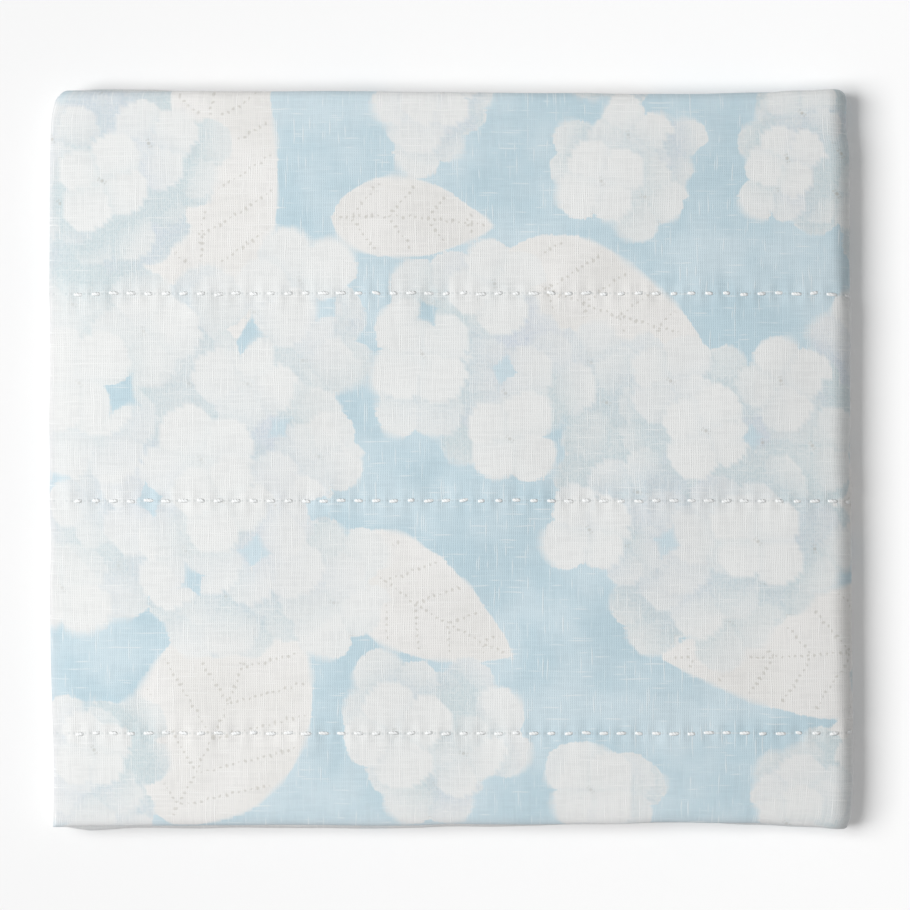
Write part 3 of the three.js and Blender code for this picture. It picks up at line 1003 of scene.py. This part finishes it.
def print_colour(nodes, colour, weave, place, threads, dye):
    """The dyed colour of the cotton: ground, petals and leaves from the print's fields."""
    bleed_reach, blur_more, blur_least = 2.2, 1.1, 0.22
    heart_strength, thick_dye_strength, vein_strength = 0.6, 0.7, 0.42
    bleed = nodes.math("MULTIPLY", nodes.math("SUBTRACT", threads["Light"], 0.5), bleed_reach)
    blur = nodes.math("MULTIPLY_ADD", dye["Blur"], blur_more, blur_least)
    blur_below = nodes.math("MULTIPLY", blur, -1.0)

    def edge(name):
        return nodes.step(nodes.math("ADD", nodes.field(name), bleed), blur_below, blur)

    hue = nodes.math("MULTIPLY", nodes.field("lilac"), dye["Cloud"])
    shade = nodes.mix(hue, colour["petal_shade"], colour["petal_lilac"])
    depth = nodes.math("MULTIPLY", nodes.field("shade"), nodes.step(dye["Speck"], 0, 1, 0.8, 1.1))
    petals = nodes.mix(depth, colour["petal"], shade)
    heart = nodes.use(heart_group(), {"From centre": nodes.field("heart", "Vector")})["Mark"]
    petals = nodes.tint(heart, petals, colour["vein"], heart_strength)
    ground = nodes.mix(dye["Cloud"], colour["ground"], colour["ground_pale"])
    cream = nodes.tint(dye["Cloud"], colour["leaf"], colour["leaf_shade"], thick_dye_strength)
    dots = nodes.use(vein_group(), {
        "Leaf": nodes.field("vein", "Vector"), "Place": place, "Dot pitch": weave.vein_pitch / MM,
        "Dot radius": weave.vein_dot / MM})["Dots"]
    inside_leaf = nodes.step(nodes.field("leaf"), 0.6, 1.4)
    cream = nodes.tint(nodes.math("MULTIPLY", dots, inside_leaf), cream, colour["vein"], vein_strength)
    return nodes.mix(edge("leaf"), nodes.mix(edge("ground"), petals, ground), cream)


def needle_distance(nodes, sizes, weave, flat):
    """How far a place lies from the nearest hole that the needle left, in millimetres."""
    hole_share = 0.57 * weave.stitch_length / weave.stitch_pitch
    stitch = nodes.math("DIVIDE", nodes.split(flat)[0], weave.stitch_pitch)
    middle_off = nodes.math("ABSOLUTE", nodes.math("SUBTRACT", nodes.math("FRACT", stitch), 0.5))
    end_share = nodes.math("SUBTRACT", middle_off, hole_share)
    end_off = nodes.math("MULTIPLY", end_share, weave.stitch_pitch / MM)
    row_share = nodes.math("SUBTRACT", 1.0, nodes.field("seam"))
    return nodes.distance(end_off, nodes.math("MULTIPLY", row_share, sizes.quilt_half_width / MM))


def cloth_material(sizes, colours, weave):
    """Printed cotton in an open weave, paler at its rim and darkened there by painted shade, and dented by
    its stitches.
    """
    material, nodes = new_material("Printed cotton")
    colour = {name: (*getattr(colours, name), 1.0) for name in own_names(colours)}
    flat = nodes.add("ShaderNodeUVMap", uv_map=FLAT_MAP).outputs[0]
    place = nodes.vector("SCALE", flat, 1 / MM)
    threads = nodes.use(weave_group(), {
        "Place": place, "Warp pitch": weave.warp_pitch / MM, "Weft pitch": weave.weft_pitch / MM,
        "Slub length": weave.slub_length / MM})
    dye = nodes.use(mottle_group(), {"Place": place, "Cloud size": 16.0})

    # The dye shows faintly through on the unprinted face
    faint, rim_power, rim_undyed, slub_undyed = 0.28, 1.6, 0.2, 0.34
    rim_painted_shade = (0.80, 0.79, 0.80, 1)
    through = nodes.math("MULTIPLY_ADD", nodes.field("printed"), 1 - faint, faint)
    dyed = print_colour(nodes, colour, weave, place, threads, dye)
    cloth = nodes.mix(through, colour["undyed"], dyed)
    # At the open edges the cotton is tinted a little towards the undyed cotton, then darkened by painted
    # shade along the edges
    rim = nodes.math("POWER", nodes.field("rim"), rim_power)
    cloth = nodes.tint(rim, cloth, colour["undyed"], rim_undyed)
    cloth = nodes.mix(rim, cloth, rim_painted_shade, "MULTIPLY")
    cloth = nodes.tint(threads["Slub"], cloth, colour["undyed"], slub_undyed)

    # Painted shade in the gaps between the threads, and a darker tone on the thin stretches of a thread
    gap_shade_and_thin_tone = (0.92, 0.922, 0.925, 1)
    gap = nodes.math("SUBTRACT", 1.0, threads["Thread"])
    gap_painted_shade = nodes.math("MULTIPLY", gap, nodes.step(dye["Speck"], 0, 1, 0.3, 0.75))
    thin = nodes.step(threads["Light"], 0.34, 0.56, 0.75, 0)
    cloth = nodes.mix(nodes.math("MAXIMUM", gap_painted_shade, thin), cloth, gap_shade_and_thin_tone, "MULTIPLY")

    # Painted shade in the holes that the needle left; the dimples round them go into the bump
    hole_from, hole_to, hole_strength, dimple_reach, dimple_depth = 0.10, 0.40, 0.3, 1.3, 1.7
    far = needle_distance(nodes, sizes, weave, flat)
    hole = nodes.step(far, hole_from, hole_to, 1.0, 0.0)
    cloth = nodes.tint(hole, cloth, colour["hole"], hole_strength)
    dimple = nodes.math("MULTIPLY", nodes.step(far, 0.0, dimple_reach, 1.0, 0.0), dimple_depth)
    relief = nodes.math("SUBTRACT", threads["Height"], dimple)
    bump = nodes.add("ShaderNodeBump", {
        "Strength": 1.0, "Distance": weave.weave_height, "Height": relief}).outputs[0]
    rough = nodes.step(threads["Thread"], 0, 1, 0.96, 0.86)
    shader = nodes.add("ShaderNodeBsdfPrincipled", {
        "Base Color": cloth, "Roughness": rough, "Normal": bump, "Sheen Weight": 0.12,
        "Sheen Roughness": 0.6, "Specular IOR Level": 0.25})
    nodes.add("ShaderNodeOutputMaterial", {"Surface": shader.outputs[0]})
    return material


def thread_material(colours):
    """White sewing thread, slightly fuzzy and twisted."""
    material, nodes = new_material("Sewing thread")
    fuzz_scale, twist_scale, fuzz_share, shadow_tone = 2600.0, 900.0, 0.4, (0.78, 0.80, 0.81, 1)
    place = nodes.add("ShaderNodeTexCoord").outputs["Object"]
    fuzz = nodes.noise(place, fuzz_scale, 2.0, "3D")
    twist = nodes.add(
        "ShaderNodeTexWave",
        {"Vector": place, "Scale": twist_scale, "Distortion": 2.0},
        bands_direction="DIAGONAL",
    ).outputs[0]
    strand = nodes.math("MULTIPLY_ADD", fuzz, fuzz_share, twist)
    white = (*colours.undyed, 1.0)
    colour = nodes.mix(nodes.step(strand, 0.1, 1.2, 0.8, 0.2), white, shadow_tone)
    bump = nodes.add("ShaderNodeBump", {"Strength": 0.5, "Distance": 0.0001, "Height": strand}).outputs[0]
    shader = nodes.add("ShaderNodeBsdfPrincipled", {
        "Base Color": colour, "Normal": bump, "Roughness": 0.7, "Sheen Weight": 0.1})
    nodes.add("ShaderNodeOutputMaterial", {"Surface": shader.outputs[0]})
    return material


def floor_material(stage):
    """Pale paper, paler away from the light, and clear from below."""
    material, nodes = new_material("Pale floor")
    across = nodes.split(nodes.add("ShaderNodeTexCoord").outputs["Object"])[0]
    share = nodes.add("ShaderNodeMapRange", {
        "Value": across, "From Min": stage.floor_from, "From Max": stage.floor_to}).outputs[0]
    near, far = ((tone, tone, tone, 1) for tone in (stage.floor_near, stage.floor_far))
    paper = nodes.add("ShaderNodeBsdfPrincipled", {
        "Base Color": nodes.mix(share, near, far), "Roughness": 0.9, "Specular IOR Level": 0.1,
        "Emission Color": (1, 1, 1, 1), "Emission Strength": stage.floor_glow})
    clear = nodes.add("ShaderNodeBsdfTransparent")
    behind = nodes.add("ShaderNodeNewGeometry").outputs["Backfacing"]
    both = nodes.add("ShaderNodeMixShader", {0: behind, 1: paper.outputs[0], 2: clear.outputs[0]})
    nodes.add("ShaderNodeOutputMaterial", {"Surface": both.outputs[0]})
    return material


def bring_over_frame(mesh, form):
    """Moves a folded mesh over the frame, by the cloth's middle across and its top fold up."""
    grid_path, grid_along = (g.ravel() for g in np.meshgrid(*stations(form)))
    faces = np.concatenate([form.face(grid_path, grid_along, side) for side in (1, -1)])
    low, high = faces.min(axis=0), faces.max(axis=0)
    shift = np.array([(cad_low[0] + cad_high[0] - low[0] - high[0]) / 2, cad_high[1] - high[1], 0.0])
    place_vertices(mesh, vertex_places(mesh) + shift)


def join_all(first, others):
    """Joins meshes into the first."""
    bpy.ops.object.select_all(action="DESELECT")
    for item in (first, *others):
        item.select_set(True)
    bpy.context.view_layer.objects.active = first
    bpy.ops.object.join()


def give_material(piece, material):
    """Smooths the active piece and gives it its only material."""
    bpy.ops.object.shade_smooth()
    piece.data.materials.clear()
    piece.data.materials.append(material)


class CLOTH_OT_fold_cloth(bpy.types.Operator):
    """Models the printed cloth flat, folds it in four and gives it its material"""

    bl_idname = "cloth.fold_cloth"
    bl_label = "Fold the cloth"

    def execute(self, context):
        chosen = settings()
        form = FoldedForm(chosen.cloth, chosen.weave)
        printed = flat_face(CLOTH_NAME, form)
        refine_print(printed, form)
        back = flat_face(CLOTH_NAME + "_back", form)
        dress_face(printed, form, 1)
        dress_face(back, form, -1)
        join_all(printed, [back])
        bpy.ops.object.mode_set(mode="EDIT")
        bpy.ops.mesh.select_all(action="SELECT")
        bpy.ops.mesh.remove_doubles(threshold=MERGE_WITHIN)
        bpy.ops.object.mode_set(mode="OBJECT")
        bring_over_frame(printed.data, form)
        give_material(printed, cloth_material(chosen.cloth, chosen.colours, chosen.weave))
        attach(printed, "root")
        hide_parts("cloth")
        return {"FINISHED"}


def add_stitch(weave):
    """One stitch along X: a flat arch whose ends dip into the cloth."""
    length, width = weave.stitch_length, weave.thread_width
    past_ends, flatness, lift, dip = 1.12, 0.45, 0.2, 0.5
    bpy.ops.object.select_all(action="DESELECT")
    bpy.ops.mesh.primitive_uv_sphere_add(
        segments=6, ring_count=7, radius=0.5, rotation=(0, math.pi / 2, 0)
    )
    stitch = bpy.context.object
    stitch.name = STITCH_NAME
    bpy.ops.transform.resize(value=(length * past_ends, width, width * flatness))
    bpy.ops.object.transform_apply(location=True, rotation=True, scale=True)
    arch = vertex_places(stitch.data)
    arch[:, 2] += lift * width - dip * width * (2 * arch[:, 0] / length) ** 4
    place_vertices(stitch.data, arch)
    return stitch


def repeat_stitch(stitch, form, pitch):
    """Repeats the stitch along X, from one end of a layer to the other with the fold in the middle."""
    row_end = 1.5 * MM
    array = stitch.modifiers.new("row", "ARRAY")
    array.count = 2 * int((form.layer_length - row_end) / pitch)
    array.use_relative_offset = False
    array.use_constant_offset = True
    array.constant_offset_displace = (pitch, 0, 0)
    to_middle = (array.count / 2 - 0.5) * pitch
    bpy.ops.object.modifier_apply(modifier=array.name)
    place_vertices(stitch.data, vertex_places(stitch.data) - (to_middle, 0, 0))


def unsettle(mesh, size):
    """Makes the stitches, of so many vertices each, differ in length, lean and place."""
    lengths, lean, aside, height = (0.72, 1.08), 0.07, 0.08 * MM, 0.03 * MM
    draw = np.random.default_rng(STITCH_SEED)
    flat = vertex_places(mesh).reshape(-1, size, 3)
    each = (len(flat), 1)
    middles = flat.mean(axis=1, keepdims=True)
    flat[:, :, 0] = middles[:, :, 0] + (flat - middles)[:, :, 0] * draw.uniform(*lengths, each)
    leans = draw.normal(0, lean, each)
    flat[:, :, 1] += leans * (flat - middles)[:, :, 0] + draw.normal(0, aside, each)
    flat[:, :, 2] += draw.normal(0, height, each)
    place_vertices(mesh, flat)


class CLOTH_OT_sew_rows(bpy.types.Operator):
    """Sews the rows of running stitch: one stitch, repeated along each row and folded with the cloth"""

    bl_idname = "cloth.sew_rows"
    bl_label = "Sew the rows"

    def execute(self, context):
        chosen = settings()
        form = FoldedForm(chosen.cloth, chosen.weave)
        stitch = add_stitch(chosen.weave)
        size = len(stitch.data.vertices)
        repeat_stitch(stitch, form, chosen.weave.stitch_pitch)
        rows = [stitch]
        for _ in form.rows[1:]:
            bpy.ops.object.duplicate()
            rows.append(context.object)
        for sewn, along in zip(rows, form.rows):
            place_vertices(sewn.data, vertex_places(sewn.data) + (0, along, 0))
        join_all(stitch, rows[1:])
        unsettle(stitch.data, size)
        fold_mesh(stitch.data, form, 1)
        bring_over_frame(stitch.data, form)
        bpy.ops.object.mode_set(mode="EDIT")
        bpy.ops.mesh.select_all(action="SELECT")
        bpy.ops.mesh.normals_make_consistent(inside=False)
        bpy.ops.object.mode_set(mode="OBJECT")
        give_material(stitch, thread_material(chosen.colours))
        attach(stitch, "root")
        cloth = bpy.data.objects.get(CLOTH_NAME)
        if cloth is None:
            raise RuntimeError("the cloth is folded before its rows are sewn")
        return {"FINISHED"}


def aim_at(thing, target):
    """Turns a light to face a place."""
    thing.rotation_euler = (Vector(target) - thing.location).to_track_quat("-Z", "Y").to_euler()


class CLOTH_OT_set_stage(bpy.types.Operator):
    """Lays the pale floor, lights it softly and sets the camera straight above"""

    bl_idname = "cloth.set_stage"
    bl_label = "Set the stage"

    def execute(self, context):
        stage = settings().stage
        floor_size, floor_gap, sensor_width = 4, 0.05 * MM, 36
        bpy.ops.object.select_all(action="DESELECT")
        bpy.ops.mesh.primitive_plane_add(size=floor_size, location=(0, 0, -floor_gap))
        floor = context.object
        floor.name = "floor"
        floor.data.materials.append(floor_material(stage))

        world = bpy.data.worlds.new("Soft room")
        world.use_nodes = True
        world.node_tree.nodes["Background"].inputs["Color"].default_value = (1, 1, 1, 1)
        world.node_tree.nodes["Background"].inputs["Strength"].default_value = stage.fill_strength
        context.scene.world = world

        bpy.ops.object.light_add(type="AREA", location=(stage.key_x, 0.0, stage.key_z))
        key = context.object
        key.name = "soft_key"
        key.data.energy = stage.key_power
        key.data.size = stage.key_size
        aim_at(key, (0, 0, 0))

        reach = stage.lens * stage.frame_width / sensor_width
        bpy.ops.object.camera_add(location=(stage.look_x, stage.look_y, reach + cad_high[2]))
        camera = context.object
        camera.name = "camera_above"
        camera.rotation_euler = (0, 0, 0)
        camera.data.lens = stage.lens
        camera.data.sensor_width = sensor_width
        camera.data.clip_start = 0.05
        camera.data.dof.use_dof = False
        context.scene.camera = camera
        context.scene.view_settings.view_transform = "Standard"
        return {"FINISHED"}


class CLOTH_PT_panel(bpy.types.Panel):
    """The cloth's sizes, colours and steps"""

    bl_idname = "CLOTH_PT_panel"
    bl_label = "Folded cloth"
    bl_space_type = "VIEW_3D"
    bl_region_type = "UI"
    bl_category = "Cloth"

    def draw(self, context):
        chosen = settings()
        for operator in OPERATORS:
            self.layout.operator(operator.bl_idname)
        for group in (chosen.cloth, chosen.weave, chosen.colours, chosen.stage):
            box = self.layout.box()
            for name in own_names(group):
                box.prop(group, name)


class ClothSettings(bpy.types.PropertyGroup):
    """All the settings together."""

    cloth: PointerProperty(type=ClothSizes, name="Cloth", description="Sizes of the folded cloth")
    weave: PointerProperty(type=WeaveSizes, name="Weave", description="Sizes of the weave and stitches")
    colours: PointerProperty(type=PrintColours, name="Colours", description="Colours of the print")
    stage: PointerProperty(type=StageSettings, name="Stage", description="The camera, lights and floor")


OPERATORS = (CLOTH_OT_fold_cloth, CLOTH_OT_sew_rows, CLOTH_OT_set_stage)
CLASSES = (ClothSizes, WeaveSizes, PrintColours, StageSettings, ClothSettings, *OPERATORS, CLOTH_PT_panel)


def register():
    for item in CLASSES:
        bpy.utils.register_class(item)
    bpy.types.Scene.folded_cloth = PointerProperty(type=ClothSettings)


def unregister():
    del bpy.types.Scene.folded_cloth
    for item in reversed(CLASSES):
        bpy.utils.unregister_class(item)


def main():
    register()
    bpy.ops.cloth.fold_cloth()
    bpy.ops.cloth.sew_rows()
    bpy.ops.cloth.set_stage()


if __name__ == "__main__":
    main()
